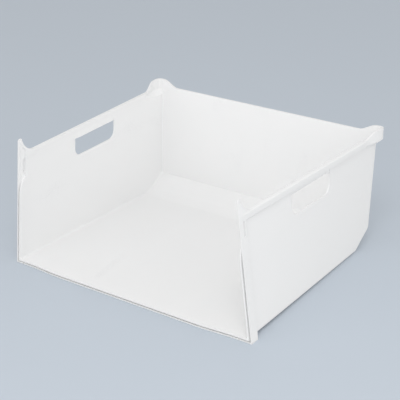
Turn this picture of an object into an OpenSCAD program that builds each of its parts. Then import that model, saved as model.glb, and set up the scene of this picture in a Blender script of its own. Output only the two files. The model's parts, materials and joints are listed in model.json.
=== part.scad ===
// Freezer drawer body, moulded in one piece, open at the top and at the front.
// X runs across the drawer, Y from the open front to the rear, Z up.
// The origin lies in the middle of the footprint, on the surface it stands on.

/* [Overall size] */
// width across the front frame, at the bottom
overall_width = 430; // [400:1:480]
// outer width of the side walls at the rear, at the bottom
rear_floor_width = 406; // [380:1:412]
// outer width of the side walls at the front, at the rim
front_rim_width = 380; // [372:1:410]
// outer width of the side walls at the rear, at the rim
rear_rim_width = 410; // [400:1:414]
// depth of the side walls along the bottom
floor_depth = 357; // [320:1:400]
// how much further back the rear wall reaches at the rim
rear_lean = 11.4; // [4:0.2:18]
// height of the rim above the table
rim_height = 183.5; // [175:0.5:230]
// how far the floor climbs from the rear to the open front
floor_rise = 3.5; // [1:0.1:5]

/* [Walls] */
// thickness of the walls and of the floor
wall = 2.5; // [2:0.1:3]
// outer radius where the side walls meet the floor
floor_corner_r = 6.5; // [5:0.5:10]
// outer radius of the upright rear corners
rear_corner_r = 5; // [4:0.5:8]
// depth of the slanted panel under the rear wall
heel_depth = 41.5; // [30:0.5:55]
// height of the slanted panel under the rear wall
heel_height = 25; // [15:0.5:32]

/* [Rim flange] */
// how far the flange stands out from the side walls
flange_out = 4.3; // [3:0.1:5]
// height of the upright face of the flange
flange_face = 9; // [7:0.5:11]
// height of the slanted underside of the flange
flange_slant = 3; // [2:0.5:5]
// rounding of the upper outer edge
rim_round = 1.8; // [1:0.1:2.5]

/* [Front frame] */
// how far the frame stands out from the side walls
frame_step = 3.9; // [3:0.1:5]
// depth of the frame behind the front edge
frame_depth = 16; // [14:0.5:20]
// how far the lower edge bows forward
front_bow = 3.5; // [1:0.1:6]
// thickness of the thin outer lip
lip_thickness = 1.4; // [1.2:0.1:1.8]
// depth of the groove between the lip and the wall
groove_depth = 4.2; // [2:0.1:6]
// height of the horns above the rim
horn_rise = 23.7; // [18:0.1:28]
// radius of the hollow sweep behind a horn
horn_sweep_r = 28.2; // [26:0.2:32]
// rounding of the front corner of a horn
horn_nose_r = 3.6; // [2:0.2:4]
// width of the raised border along the hollow sweep
horn_border = 3.4; // [2:0.1:4.5]
// thickness of the tip of a horn, seen from the front
horn_tip = 3; // [2.6:0.1:5]

/* [Pockets and clip slots] */
// lower end of the pocket inside a horn, below the rim
pocket_drop = 71.5; // [60:0.5:85]
// height of the curved lower end of the pocket
pocket_curve = 33; // [20:1:40]
// how far the pocket reaches back from the front edge
pocket_rear = 12; // [10:0.5:12.5]
// how deep the pocket is cut into the frame behind the wall
pocket_cut = 0.8; // [0.4:0.1:1.2]
// height of the narrow clip slot
clip_slot_height = 22; // [14:1:26]
// width of the narrow clip slot
clip_slot_width = 3; // [2:0.1:3.6]
// upper end of the clip slot, below the rim
clip_slot_drop = 9.5; // [8:0.5:14]

/* [Hand slots] */
// front end of a hand slot, measured from the front edge
slot_front = 127; // [90:1:160]
// length of a hand slot
slot_length = 101; // [80:1:120]
// height of the lower edge of a hand slot above the table
slot_bottom = 135; // [125:1:142]
// radius of the lower corners of a hand slot
slot_r = 14; // [8:1:16]
// how far the grip above a hand slot leans inward
grip_lean = 2.2; // [0.5:0.1:5]
// height of the lower edge of the grip, below the rim
grip_height = 17.6; // [14:0.2:20]

/* [Rear ears] */
// width across the two ears
ear_width = 430; // [426:1:440]
// height of the ears above the rim
ear_rise = 10; // [6:0.2:14]
// how far the ears stand out behind the rear wall
ear_back = 3.2; // [2:0.1:5]
// height of the upright face of an ear
ear_face = 17.9; // [14:0.1:22]
// height of the slanted underside of an ear
ear_slant = 11; // [8:0.5:14]
// outer radius of an ear, seen from above
ear_r = 8; // [5:0.5:10]
// wall thickness of an ear
ear_wall = 3; // [2.4:0.1:3.5]
// length of the slope from the side rim up to an ear
ear_side_slope = 27.5; // [20:0.5:34]
// length of the slope from the rear rim up to an ear
ear_rear_slope = 30.5; // [20:0.5:36]

/* [Hidden] */

front_floor_half = overall_width / 2 - frame_step;
rear_floor_half = rear_floor_width / 2;
front_rim_half = front_rim_width / 2;
rear_rim_half = rear_rim_width / 2;
rim_depth = floor_depth + rear_lean;
heel_start = floor_depth - heel_depth;
front_most = -front_bow;
rear_most = rim_depth + ear_back;
y_middle = (front_most + rear_most) / 2;
horn_top = rim_height + horn_rise;
frame_body = frame_step + wall;
ear_top = rim_height + ear_rise;
ear_half = ear_width / 2;
ear_low = ear_top - ear_face;
overshoot = 6;
tuck = 0.6;
corner_steps = 5;
side_steps = 3;
floor_stations = 10;
heel_slope = heel_height / heel_depth;
horn_run = horn_sweep_r * 1.17;
ear_side_from = rim_depth - 48;
ear_rear_from = rear_rim_half - 42;
ear_side_slant = 1.18;
ear_rear_slant = 0.5;
colour_body = [0.93, 0.94, 0.95];

// half width of the outside of a side wall, along the bottom, at the depth y
function floor_half(y) =
    front_floor_half + (rear_floor_half - front_floor_half) * y / floor_depth;

// half width of the outside of a side wall, along the rim
function rim_half(y) =
    front_rim_half + (rear_rim_half - front_rim_half) * y / floor_depth;

// half width of the outside of a side wall at the true depth y and the height z
function wall_at(y, z) =
    let (y0 = y / (1 + rear_lean / floor_depth * z / rim_height))
    floor_half(y0) + (rim_half(y0) - floor_half(y0)) * z / rim_height;

// the same along the rim
function rim_at(y) = wall_at(y, rim_height);

// soft step from 0 to 1
function soft(t) =
    let (u = min(1, max(0, t)))
    u * u * (3 - 2 * u);

// height of the underside of the floor, which turns into the slanted panel
function underside(y) =
    y <= heel_start
        ? floor_rise * (1 - y / heel_start)
        : (y - heel_start) * heel_slope;

// height of the inside of the floor
function floor_top(y) =
    let (slant = wall * sqrt(1 + heel_slope * heel_slope))
    max(underside(min(y, heel_start)) + wall, (y - heel_start) * heel_slope + slant);

// depth of a point of a cross section that lies at y along the bottom
function leaned(y, z) = y * (1 + rear_lean / floor_depth * z / rim_height);

// one half of a cross section, from the rim down to the floor
function half_section(y, inset, bottom, r, top) =
    let (a = floor_half(y) - inset)
    let (k = (rim_half(y) - floor_half(y)) / rim_height)
    let (zc = bottom + r)
    let (xc = a + k * zc - r * sqrt(1 + k * k))
    let (phi = -atan(k))
    let (z_low = zc + r * sin(phi))
    let (z_high = rim_height - flange_face - flange_slant)
    concat(
        top,
        [for (i = [side_steps : -1 : 1])
            let (z = z_low + (z_high - z_low) * i / side_steps)
            [a + k * z, z]],
        [for (i = [0 : corner_steps])
            let (angle = phi + (-90 - phi) * i / corner_steps)
            [xc + r * cos(angle), zc + r * sin(angle)]]
    );

// the whole cross section as points in space: the middle of the floor first, then
// up the left wall and down the right one
function section_ring(y, half) =
    let (last = len(half) - 1)
    let (low = half[last][1])
    concat(
        [[0, leaned(y, low), low]],
        [for (i = [last : -1 : 0]) [-half[i][0], leaned(y, half[i][1]), half[i][1]]],
        [for (p = half) [p[0], leaned(y, p[1]), p[1]]]
    );

// outline of the flange, from the top edge down to its slanted underside
function flange_points(y, inset) =
    let (face = rim_half(y) + flange_out - inset)
    [
        [face - rim_round, rim_height],
        [face - 0.3 * rim_round, rim_height - 0.3 * rim_round],
        [face, rim_height - rim_round],
        [face, rim_height - flange_face]
    ];

// inside of the walls above the flange, run on past the horns and the ears
function straight_top(y, inset) =
    let (k = (rim_half(y) - floor_half(y)) / rim_height)
    let (z = horn_top + overshoot)
    [[floor_half(y) - inset + k * z, z]];

// joins a row of rings with the same number of points into one solid; each ring can be
// seen whole from its first point, and from the point number turned on the faces are
// split the other way, so that the left side mirrors the right one
module loft(rings, turned) {
    n = len(rings[0]);
    m = len(rings);
    points = [for (ring = rings) for (p = ring) p];
    sides = [
        for (i = [0 : m - 2])
            for (j = [0 : n - 1])
                let (a = i * n + j, b = i * n + (j + 1) % n)
                for (t = j < turned
                        ? [[a, b + n, b], [a, a + n, b + n]]
                        : [[a, a + n, b], [a + n, b + n, b]])
                    t
    ];
    start_cap = [for (j = [1 : n - 2]) [0, j, j + 1]];
    end_cap = [for (j = [1 : n - 2]) [(m - 1) * n, (m - 1) * n + j + 1, (m - 1) * n + j]];
    polyhedron(points, concat(start_cap, sides, end_cap), convexity = 8);
}

// joins cross sections, whose second half mirrors the first
module loft_sections(rings) {
    loft(rings, (len(rings[0]) + 1) / 2);
}

// joins the plans of an ear; side is 1 or -1
module loft_plans(rings, side) {
    loft(rings, side > 0 ? len(rings[0]) : 0);
}

// stations of the loft: evenly along the floor, then the heel, then the rear
function stations(rear, r) =
    concat(
        [for (i = [0 : floor_stations]) [heel_start * i / floor_stations, 0]],
        [[(heel_start + rear - r) / 2, 0]],
        [for (i = [0 : 4])
            let (angle = 90 * i / 4)
            [rear - r + r * sin(angle), r * (1 - cos(angle))]]
    );

module outer_form() {
    loft_sections([
        for (s = stations(floor_depth, rear_corner_r))
            section_ring(s[0], half_section(
                s[0], s[1], underside(s[0]), floor_corner_r, flange_points(s[0], s[1])))
    ]);
}

module inner_form() {
    inner_rear = floor_depth - wall;
    inner_rear_r = rear_corner_r - wall;
    inner_stations = stations(inner_rear, inner_rear_r);
    loft_sections([
        for (s = concat([[-2 * overshoot, 0]], inner_stations))
            section_ring(s[0], half_section(
                s[0], wall + s[1], floor_top(s[0]), floor_corner_r - wall,
                straight_top(s[0], wall + s[1])))
    ]);
}

// solid standing on the XZ plane, running from y0 to y1
module along_y(y0, y1) {
    translate([0, y1, 0])
        rotate([90, 0, 0])
            linear_extrude(height = y1 - y0)
                children();
}

// solid standing on the YZ plane, running from x0 to x1
module along_x(x0, x1) {
    translate([x0, 0, 0])
        rotate([90, 0, 90])
            linear_extrude(height = x1 - x0)
                children();
}

module both_sides() {
    children();
    mirror([1, 0, 0])
        children();
}

// outline of the front frame, seen from the front, grown or shrunk by an inset
function frame_side(z, inset) =
    overall_width / 2 - inset
        + (front_rim_half - front_floor_half) * z / rim_height;

module frame_outline(inset, bottom, top) {
    polygon([
        [frame_side(bottom, inset), bottom],
        [frame_side(top, inset), top],
        [-frame_side(top, inset), top],
        [-frame_side(bottom, inset), bottom]
    ]);
}

// forward bow of the lower edge, level in the middle and fading to the corners
function bow_at(x) =
    let (flat = overall_width * 0.29)
    let (end = overall_width * 0.45)
    -front_bow * (1 - soft((abs(x) - flat) / (end - flat)));

module bow_outline() {
    steps = 24;
    half = frame_side(floor_rise + wall, 0.3);
    polygon(concat(
        [for (i = [-steps : steps]) [half * i / steps, bow_at(half * i / steps)]],
        [[half, frame_depth], [-half, frame_depth]]
    ));
}

module front_frame() {
    along_y(0, frame_depth)
        frame_outline(0, 0, rim_height);
    linear_extrude(height = floor_rise + wall)
        bow_outline();
}

// points of a quarter turn or less around a centre, from one angle to another
function arc(cx, cy, rx, ry, from, to, steps) =
    [for (i = [0 : steps])
        let (angle = from + (to - from) * i / steps)
        [cx + rx * cos(angle), cy + ry * sin(angle)]];

// hollow sweep from a height above the rim down to it, at a distance outside the curve
function sweep(top, border) =
    let (r = horn_sweep_r + border)
    arc(horn_run, rim_height + horn_sweep_r, r, r,
        180 + asin((horn_sweep_r + rim_height - top) / r), 270, 24);

// side view of a horn: a rounded nose in front, then the hollow sweep down to the rim
module horn_profile() {
    base = rim_height - flange_face;
    polygon(concat(
        [[0, base]],
        arc(horn_nose_r, horn_top - horn_nose_r, horn_nose_r, horn_nose_r, 180, 90, 6),
        sweep(horn_top, 0),
        [[horn_run, base]]
    ));
}

// space between the horns, seen from the front: it widens from the rim to their tips
module between_horns() {
    low = rim_height - flange_face - 2;
    inset = frame_body - 0.3;
    right_side = [
        [frame_side(low, inset), low],
        [frame_side(rim_height, inset), rim_height],
        [frame_side(horn_top, horn_tip), horn_top],
        [frame_side(horn_top, horn_tip), horn_top + overshoot]
    ];
    polygon(concat(right_side, [for (i = [3 : -1 : 0]) [-right_side[i][0], right_side[i][1]]]));
}

module horns() {
    intersection() {
        along_x(-overall_width, overall_width)
            horn_profile();
        along_y(0, horn_run)
            difference() {
                frame_outline(0, rim_height - flange_face - 1, horn_top);
                between_horns();
            }
    }
}

// narrow groove between the thin outer lip and the wall, all along the front edge
module groove() {
    along_y(-2 * front_bow, groove_depth)
        difference() {
            frame_outline(lip_thickness, lip_thickness, horn_top + overshoot);
            frame_outline(frame_step, floor_rise, horn_top + 2 * overshoot);
        }
}

// side view of the pocket: open in front, curved at its lower end, and closed at the
// top by the border along the hollow sweep
module pocket_profile() {
    bottom = rim_height - pocket_drop;
    half = pocket_rear + 1;
    top = horn_top - horn_nose_r;
    border = sweep(top, horn_border);
    reach = sqrt(pow(horn_sweep_r + horn_border, 2) - pow(horn_run - pocket_rear, 2));
    polygon(concat(
        [[-overshoot, bottom]],
        arc(half, bottom, half, pocket_curve, 180, acos(-1 / half), 16),
        [[pocket_rear, rim_height + horn_sweep_r - reach]],
        [for (i = [len(border) - 1 : -1 : 0])
            if (border[i][0] < pocket_rear - 0.1) border[i]],
        [[-overshoot, top]]
    ));
}

// recess on the inner side of the frame, and the clip slot through it
module pocket() {
    intersection() {
        along_x(0, overall_width)
            pocket_profile();
        along_y(-overshoot, frame_depth)
            difference() {
                frame_outline(frame_step - pocket_cut, 0, horn_top + overshoot);
                frame_outline(frame_body + 1, -1, horn_top + 2 * overshoot);
            }
    }
    translate([0, pocket_rear - clip_slot_width - 0.4, rim_height - clip_slot_drop - clip_slot_height])
        cube([overall_width, clip_slot_width, clip_slot_height]);
}

// outline of a hand slot seen from the side, with rounded lower corners
module slot_outline() {
    top = rim_height - flange_face - flange_slant / 2;
    hull() {
        for (y = [slot_front + slot_r, slot_front + slot_length - slot_r])
            translate([y, slot_bottom + slot_r])
                circle(r = slot_r, $fn = 48);
        translate([slot_front, top - 4])
            square([slot_length, 4]);
    }
}

module hand_slots() {
    along_x(-overall_width, overall_width)
        slot_outline();
}

// cross section of the grip over a hand slot: a strip of the wall whose rounded lower
// edge leans inward, given as distances from the outside of the wall, and heights
function grip_section(lean) =
    let (edge_r = 1.2)
    let (low = rim_height - grip_height + edge_r)
    let (high = rim_height - flange_face + 1)
    let (middle = -wall / 2 - lean)
    concat(
        [[-wall + 0.2, high], [-0.2, high], [-0.2, high - flange_slant / 2]],
        arc(middle, low, edge_r, edge_r, 0, -180, 6)
    );

// the lean fades out beyond both ends of the slot
module grip() {
    half = slot_length / 2 + 7;
    middle = slot_front + slot_length / 2;
    loft([
        for (i = [-8 : 8])
            let (reach = half * sin(90 * i / 8))
            let (y = middle + reach)
            [for (p = grip_section((grip_lean - 0.3) * soft((half - abs(reach)) / 18) ))
                [wall_at(y, p[1]) + p[0], y, p[1]]]
    ], 0);
}

// distance of the outside of an ear from the middle, along the side
function ear_side_at(y) =
    let (from = rim_at(y) + flange_out - tuck)
    from + (ear_half - from) * soft((y - ear_side_from) / (rear_most - ear_r - ear_side_from));

// depth of the outside of an ear, along the rear
function ear_rear_at(x) =
    let (from = rim_depth - tuck)
    from + (rear_most - from) * soft((x - ear_rear_from) / (ear_half - ear_r - ear_rear_from));

// plan of the ear on the right, outside: from the side wall round to the rear wall
function ear_plan() =
    let (cx = ear_half - ear_r, cy = rear_most - ear_r)
    concat(
        [for (i = [0 : 7])
            let (y = ear_side_from + (cy - ear_side_from) * i / 8)
            [ear_side_at(y), y]],
        arc(cx, cy, ear_r, ear_r, 0, 90, 6),
        [for (i = [7 : -1 : 0])
            let (x = ear_rear_from + (cx - ear_rear_from) * i / 8)
            [x, ear_rear_at(x)]]
    );

// inside of the ear: the solid rim thins out to the wall of the ear
function ear_inside_plan() =
    let (cx = ear_half - ear_r, cy = rear_most - ear_r, r = ear_r - ear_wall)
    let (from = ear_side_from - 12)
    let (solid = wall + flange_out + tuck)
    concat(
        [for (i = [0 : 9])
            let (y = from + (cy - from) * i / 10)
            let (thick = solid + (ear_wall - solid) * soft((y - from) / 20))
            [ear_side_at(y) - thick, y]],
        arc(cx, cy, r, r, 0, 90, 6),
        [for (i = [7 : -1 : 0])
            let (x = ear_rear_from + (cx - ear_rear_from) * i / 8)
            [x, ear_rear_at(x) - ear_wall - 0.2]]
    );

// a plan as a closed ring at the height z, moved inward by a shift; it starts at a
// point inside the drawer, and side is 1 or -1
function plan_ring(plan, z, shift, back, side) =
    let (closed = concat([[plan[0][0], back[1]]], plan, [[back[0], plan[len(plan) - 1][1]]]))
    let (last = len(closed) - 1)
    concat(
        [[side * (back[0] - shift[0]), back[1] - shift[1], z]],
        [for (i = [0 : last])
            let (p = side > 0 ? closed[i] : closed[last - i])
            [side * (p[0] - shift[0]), p[1] - shift[1], z]]
    );

module ear_outside(side) {
    back = [ear_rear_from - 10, ear_side_from - 10];
    slant = [ear_slant * ear_side_slant, ear_slant * ear_rear_slant];
    loft_plans([
        plan_ring(ear_plan(), ear_low - ear_slant, slant, back, side),
        plan_ring(ear_plan(), ear_low, [0, 0], back, side),
        plan_ring(ear_plan(), ear_top, [0, 0], back, side)
    ], side);
}

// the inside runs parallel to the slanted underside, one wall above it
module ear_inside(side) {
    back = [ear_rear_from - 20, ear_side_from - 30];
    rise = ear_slant + 2;
    slant = [rise * ear_side_slant, rise * ear_rear_slant];
    above = 1.2;
    loft_plans([
        plan_ring(ear_inside_plan(), ear_low + above - rise, slant, back, side),
        plan_ring(ear_inside_plan(), ear_low + above, [0, 0], back, side),
        plan_ring(ear_inside_plan(), ear_top + overshoot, [0, 0], back, side)
    ], side);
}

// soft slope from the rim up to the top of an ear, between two places along an edge
function slope_points(from, to) =
    [for (i = [0 : 12])
        let (t = i / 12)
        [from + (to - from) * t, rim_height - tuck + (ear_rise + tuck) * soft(t)]];

// cuts the ends of both ears down to the rim
module ear_slopes() {
    y0 = rim_depth - 47;
    y1 = y0 + ear_side_slope;
    x0 = rear_rim_half - 34;
    x1 = x0 + ear_rear_slope;
    roof = ear_top + overshoot;
    along_x(-overall_width, overall_width)
        polygon(concat(
            slope_points(y0, y1),
            [[y1, roof], [ear_side_from - 20, roof], [ear_side_from - 20, rim_height - tuck]]
        ));
    along_y(0, rear_most + overshoot)
        polygon(concat(
            slope_points(x0, x1),
            [[x1, roof], [-x1, roof]],
            [for (i = [12 : -1 : 0])
                let (p = slope_points(x0, x1)[i])
                [-p[0], p[1]]]
        ));
}

module drawer_body() {
    color(colour_body)
        translate([0, -y_middle, 0]) {
            difference() {
                union() {
                    outer_form();
                    front_frame();
                    for (side = [1, -1])
                        difference() {
                            ear_outside(side);
                            ear_slopes();
                        }
                }
                inner_form();
                hand_slots();
                for (side = [1, -1])
                    ear_inside(side);
                both_sides()
                    pocket();
                groove();
            }
            difference() {
                horns();
                groove();
                both_sides()
                    pocket();
            }
            both_sides()
                grip();
        }
}

drawer_body();
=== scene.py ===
import json
import math

import bmesh
import bpy
from mathutils import Matrix, Vector

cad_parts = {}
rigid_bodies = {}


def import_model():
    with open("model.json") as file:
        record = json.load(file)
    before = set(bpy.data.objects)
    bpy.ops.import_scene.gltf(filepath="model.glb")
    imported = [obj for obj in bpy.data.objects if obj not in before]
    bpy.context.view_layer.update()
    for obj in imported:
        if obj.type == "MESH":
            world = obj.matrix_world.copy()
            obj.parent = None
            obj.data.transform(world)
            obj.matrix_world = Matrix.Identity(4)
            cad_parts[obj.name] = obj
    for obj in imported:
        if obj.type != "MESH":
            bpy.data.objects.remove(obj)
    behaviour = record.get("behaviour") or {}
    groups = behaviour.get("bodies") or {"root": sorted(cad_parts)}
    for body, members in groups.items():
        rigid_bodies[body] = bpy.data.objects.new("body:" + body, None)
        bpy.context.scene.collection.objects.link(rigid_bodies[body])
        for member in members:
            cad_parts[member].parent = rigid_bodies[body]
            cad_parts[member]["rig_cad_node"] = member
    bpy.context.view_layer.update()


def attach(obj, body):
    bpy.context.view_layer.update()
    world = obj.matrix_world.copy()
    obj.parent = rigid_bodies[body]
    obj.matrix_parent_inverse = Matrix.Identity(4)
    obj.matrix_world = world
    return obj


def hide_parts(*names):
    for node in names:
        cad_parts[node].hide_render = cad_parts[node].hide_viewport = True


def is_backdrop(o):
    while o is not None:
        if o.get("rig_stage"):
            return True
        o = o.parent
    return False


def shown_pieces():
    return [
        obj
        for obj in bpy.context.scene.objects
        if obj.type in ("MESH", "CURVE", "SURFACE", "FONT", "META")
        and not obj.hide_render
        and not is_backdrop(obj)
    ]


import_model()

# Camera. It stands in front of the drawer's open end, to its right and above the rim,
# with a long lens, and is turned by less than a degree about its own line of sight.
camera_place = Vector((0.91204, -1.27974, 0.80826))
camera_azimuth = math.radians(35.42)
camera_elevation = math.radians(24.60)
camera_roll = math.radians(-0.76)
camera_lens = 101.67
camera_sensor_width = 36
nearest_seen = 0.05
farthest_seen = 50

back = Vector((
    math.sin(camera_azimuth) * math.cos(camera_elevation),
    -math.cos(camera_azimuth) * math.cos(camera_elevation),
    math.sin(camera_elevation),
))
right = Vector((math.cos(camera_azimuth), math.sin(camera_azimuth), 0))
up = back.cross(right)
rolled_right = math.cos(camera_roll) * right + math.sin(camera_roll) * up
rolled_up = -math.sin(camera_roll) * right + math.cos(camera_roll) * up
camera_data = bpy.data.cameras.new("camera")
camera_data.lens = camera_lens
camera_data.sensor_width = camera_sensor_width
camera_data.clip_start = nearest_seen
camera_data.clip_end = farthest_seen
camera = bpy.data.objects.new("camera", camera_data)
bpy.context.collection.objects.link(camera)
camera.matrix_world = Matrix.Translation(camera_place) @ Matrix(
    (rolled_right, rolled_up, back)).transposed().to_4x4()
bpy.context.scene.camera = camera
bpy.context.scene.view_settings.view_transform = "Standard"

# Studio. A plain pale floor under the drawer and a white surrounding that lights it from
# all sides, with soft lamps: the strongest high in front and to the right, and four
# low ones from the right round to the front left. The floor is darker to the eye only.
floor_half = 6
floor_seen = (0.56, 0.62, 0.69, 1)
floor_bounce = (0.70, 0.72, 0.74, 1)
floor_roughness = 0.55
sky_colour = (1, 1, 1, 1)
sky_strength = 0.705
lamp_distance = 2.4
lamp_size = 1.0
lamp_aim = Vector((0, 0, 0.08))
lamps = (  # name, degrees round to the right of the front, degrees above the floor, watts
    ("high_lamp", 30, 50, 11.6),
    ("right_lamp", 90, 20, 3.1),
    ("front_right_lamp", 60, 20, 3.7),
    ("front_lamp", 0, 20, 2.2),
    ("front_left_lamp", -30, 20, 3.2),
)

floor_mesh = bpy.data.meshes.new("floor")
floor_mesh.from_pydata(
    [(-floor_half, -floor_half, 0), (floor_half, -floor_half, 0),
     (floor_half, floor_half, 0), (-floor_half, floor_half, 0)],
    [], [(0, 1, 2, 3)])
floor = bpy.data.objects.new("floor", floor_mesh)
bpy.context.collection.objects.link(floor)
floor_material = bpy.data.materials.new("floor")
floor_material.use_nodes = True
floor_nodes = floor_material.node_tree.nodes
floor_links = floor_material.node_tree.links
floor_shader = floor_nodes["Principled BSDF"]
floor_shader.inputs["Roughness"].default_value = floor_roughness
floor_path = floor_nodes.new("ShaderNodeLightPath")
floor_colour = floor_nodes.new("ShaderNodeMix")
floor_colour.data_type = "RGBA"
floor_colour.inputs["A"].default_value = floor_bounce
floor_colour.inputs["B"].default_value = floor_seen
floor_links.new(floor_path.outputs["Is Camera Ray"], floor_colour.inputs["Factor"])
floor_links.new(floor_colour.outputs["Result"], floor_shader.inputs["Base Color"])
floor_mesh.materials.append(floor_material)
floor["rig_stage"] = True

world = bpy.data.worlds.new("studio")
world.use_nodes = True
world_shader = world.node_tree.nodes["Background"]
world_shader.inputs["Color"].default_value = sky_colour
world_shader.inputs["Strength"].default_value = sky_strength
bpy.context.scene.world = world

for lamp_name, degrees_round, degrees_up, watts in lamps:
    azimuth = math.radians(degrees_round)
    elevation = math.radians(degrees_up)
    lamp_place = lamp_distance * Vector((
        math.sin(azimuth) * math.cos(elevation),
        -math.cos(azimuth) * math.cos(elevation),
        math.sin(elevation),
    ))
    lamp_data = bpy.data.lights.new(lamp_name, "AREA")
    lamp_data.shape = "SQUARE"
    lamp_data.size = lamp_size
    lamp_data.energy = watts
    lamp = bpy.data.objects.new(lamp_name, lamp_data)
    lamp.location = lamp_place
    lamp.rotation_euler = (lamp_aim - lamp_place).to_track_quat("-Z", "Y").to_euler()
    bpy.context.collection.objects.link(lamp)

# Drawer body. One piece of white polystyrene, injection moulded, satin where the mould
# was polished, with the faint flow of the plastic and light rubbing on its outer faces.
# The small facets of its curves are shaded as one surface up to the real edges.
same_point = 0.00002
fold_angle = math.radians(175)
flat_angle = math.radians(0.12)
edge_angle = math.radians(28)
crease_y = 0.1316
crease_near = 0.0004
crease_rounding = 0.014
crease_steps = 5

moulding = next(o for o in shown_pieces() if o.get("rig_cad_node") == "drawer_body")
shell = bmesh.new()
shell.from_mesh(moulding.data)
bmesh.ops.remove_doubles(shell, verts=shell.verts, dist=same_point)
bmesh.ops.dissolve_degenerate(shell, edges=shell.edges, dist=same_point)
folded = [edge for edge in shell.edges if edge.calc_face_angle(0) > fold_angle]
bmesh.ops.dissolve_edges(shell, edges=folded)
bmesh.ops.dissolve_limit(
    shell, angle_limit=flat_angle, verts=shell.verts, edges=shell.edges)
# the inside is soft where the floor turns up into the slanted panel
inner_crease = [
    edge for edge in shell.edges
    if all(abs(vert.co.y - crease_y) < crease_near for vert in edge.verts)
    and edge.calc_face_angle_signed(0) < 0]
bmesh.ops.bevel(
    shell, geom=inner_crease, offset=crease_rounding, offset_type="OFFSET",
    segments=crease_steps, profile=0.5, affect="EDGES", clamp_overlap=False)
for face in shell.faces:
    face.smooth = True
for edge in shell.edges:
    edge.smooth = edge.calc_face_angle(0) < edge_angle
shell_mesh = bpy.data.meshes.new("moulded_drawer")
shell.to_mesh(shell_mesh)
shell.free()
drawer = bpy.data.objects.new("moulded_drawer", shell_mesh)
bpy.context.collection.objects.link(drawer)
smooth = drawer.modifiers.new("smooth", "WEIGHTED_NORMAL")
smooth.keep_sharp = True

plastic_pure = (0.909, 0.909, 0.907, 1)
plastic_cool = (0.901, 0.903, 0.904, 1)
plastic_rubbed = (0.86, 0.86, 0.855, 1)
plastic_ior = 1.55
light_through = 0.3
light_depth = 0.003
edge_radius = 0.0006
edge_samples = 6
edge_turn = (0.99, 0.80)
flow_scale = (17, 4, 12)
flow_colour_band = (0.25, 0.75)
noise_middle = (0.3, 0.7)
soft_detail = 2
grain_scale = 1100
grain_detail = 3
streak_scale = (700, 9, 700)
streak_band = (0.58, 0.70)
patch_scale = 26
patch_band = (0.5, 0.66)
outer_face_x = (0.186, 0.2)
rubbed_colour = 0.35
satin_roughness = (0.28, 0.34)
grain_roughness = 0.02
rubbed_roughness = 0.16
edge_roughness = 0.08
flow_height = 0.3
grain_height = 0.07
rubbed_depth = 0.06
relief_strength = 0.35
relief_distance = 0.0002
full = (0, 1)

plastic = bpy.data.materials.new("white_polystyrene")
plastic.use_nodes = True
nodes = plastic.node_tree.nodes
links = plastic.node_tree.links
shader = nodes["Principled BSDF"]
shader.inputs["IOR"].default_value = plastic_ior
shader.inputs["Subsurface Weight"].default_value = light_through
shader.inputs["Subsurface Scale"].default_value = light_depth
shader.inputs["Subsurface Radius"].default_value = (1, 1, 1)


def noise(vector, scale, detail):
    node = nodes.new("ShaderNodeTexNoise")
    node.inputs["Scale"].default_value = scale
    node.inputs["Detail"].default_value = detail
    links.new(vector, node.inputs["Vector"])
    return node.outputs["Fac"]


def stretched(vector, scale):
    node = nodes.new("ShaderNodeMapping")
    node.inputs["Scale"].default_value = scale
    links.new(vector, node.inputs["Vector"])
    return node.outputs["Vector"]


def graded(value, source, target):
    node = nodes.new("ShaderNodeMapRange")
    node.inputs["From Min"].default_value = source[0]
    node.inputs["From Max"].default_value = source[1]
    node.inputs["To Min"].default_value = target[0]
    node.inputs["To Max"].default_value = target[1]
    links.new(value, node.inputs["Value"])
    return node.outputs["Result"]


def reckoned(operation, first, second=None):
    node = nodes.new("ShaderNodeMath")
    node.operation = operation
    links.new(first, node.inputs[0])
    if second is not None:
        links.new(second, node.inputs[1])
    return node.outputs["Value"]


def mixed(share, colour, other):
    node = nodes.new("ShaderNodeMix")
    node.data_type = "RGBA"
    links.new(share, node.inputs["Factor"])
    if isinstance(colour, tuple):
        node.inputs["A"].default_value = colour
    else:
        links.new(colour, node.inputs["A"])
    node.inputs["B"].default_value = other
    return node.outputs["Result"]


place = nodes.new("ShaderNodeTexCoord").outputs["Object"]
separate = nodes.new("ShaderNodeSeparateXYZ")
links.new(place, separate.inputs["Vector"])

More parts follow.
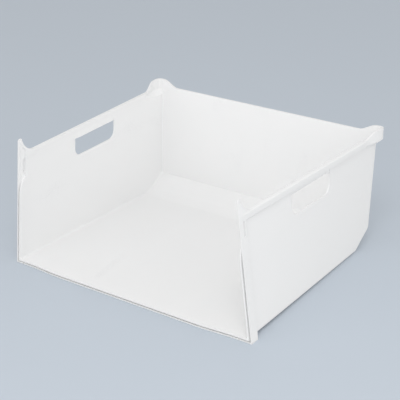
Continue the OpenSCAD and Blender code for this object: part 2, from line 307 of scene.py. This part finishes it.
# edges: where the rounded normal turns away from the face, the plastic is rubbed duller
edge_rounding = nodes.new("ShaderNodeBevel")
edge_rounding.samples = edge_samples
edge_rounding.inputs["Radius"].default_value = edge_radius
face_normal = nodes.new("ShaderNodeNewGeometry").outputs["Normal"]
turn = nodes.new("ShaderNodeVectorMath")
turn.operation = "DOT_PRODUCT"
links.new(edge_rounding.outputs["Normal"], turn.inputs[0])
links.new(face_normal, turn.inputs[1])
edge_mask = graded(turn.outputs["Value"], edge_turn, full)

# flow of the plastic: broad soft bands that run back from the front edge
flow = noise(stretched(place, flow_scale), 1, soft_detail)
# fine grain that the mould leaves, about a millimetre across
grain = noise(place, grain_scale, grain_detail)
# rubbing of the outer faces in the cabinet: thin streaks along the way it slides
streaks = graded(
    noise(stretched(place, streak_scale), 1, soft_detail), streak_band, full)
patches = graded(noise(place, patch_scale, soft_detail), patch_band, full)
outer_faces = graded(reckoned("ABSOLUTE", separate.outputs["X"]), outer_face_x, full)
rubbed = reckoned("MULTIPLY", reckoned("MULTIPLY", streaks, patches), outer_faces)

colour = mixed(graded(flow, flow_colour_band, full), plastic_cool, plastic_pure)
dulled = mixed(graded(rubbed, full, (0, rubbed_colour)), colour, plastic_rubbed)
links.new(dulled, shader.inputs["Base Color"])

satin = reckoned(
    "ADD", graded(flow, noise_middle, satin_roughness),
    graded(grain, noise_middle, (-grain_roughness, grain_roughness)))
worn = reckoned(
    "ADD", graded(rubbed, full, (0, rubbed_roughness)),
    graded(edge_mask, full, (0, edge_roughness)))
links.new(reckoned("ADD", satin, worn), shader.inputs["Roughness"])

rubbed_grain = reckoned(
    "SUBTRACT", graded(grain, full, (0, grain_height)),
    graded(rubbed, full, (0, rubbed_depth)))
relief = reckoned("ADD", graded(flow, full, (0, flow_height)), rubbed_grain)
bump = nodes.new("ShaderNodeBump")
bump.inputs["Strength"].default_value = relief_strength
bump.inputs["Distance"].default_value = relief_distance
links.new(relief, bump.inputs["Height"])
links.new(edge_rounding.outputs["Normal"], bump.inputs["Normal"])
links.new(bump.outputs["Normal"], shader.inputs["Normal"])
shell_mesh.materials.append(plastic)
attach(drawer, "root")
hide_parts("drawer_body")
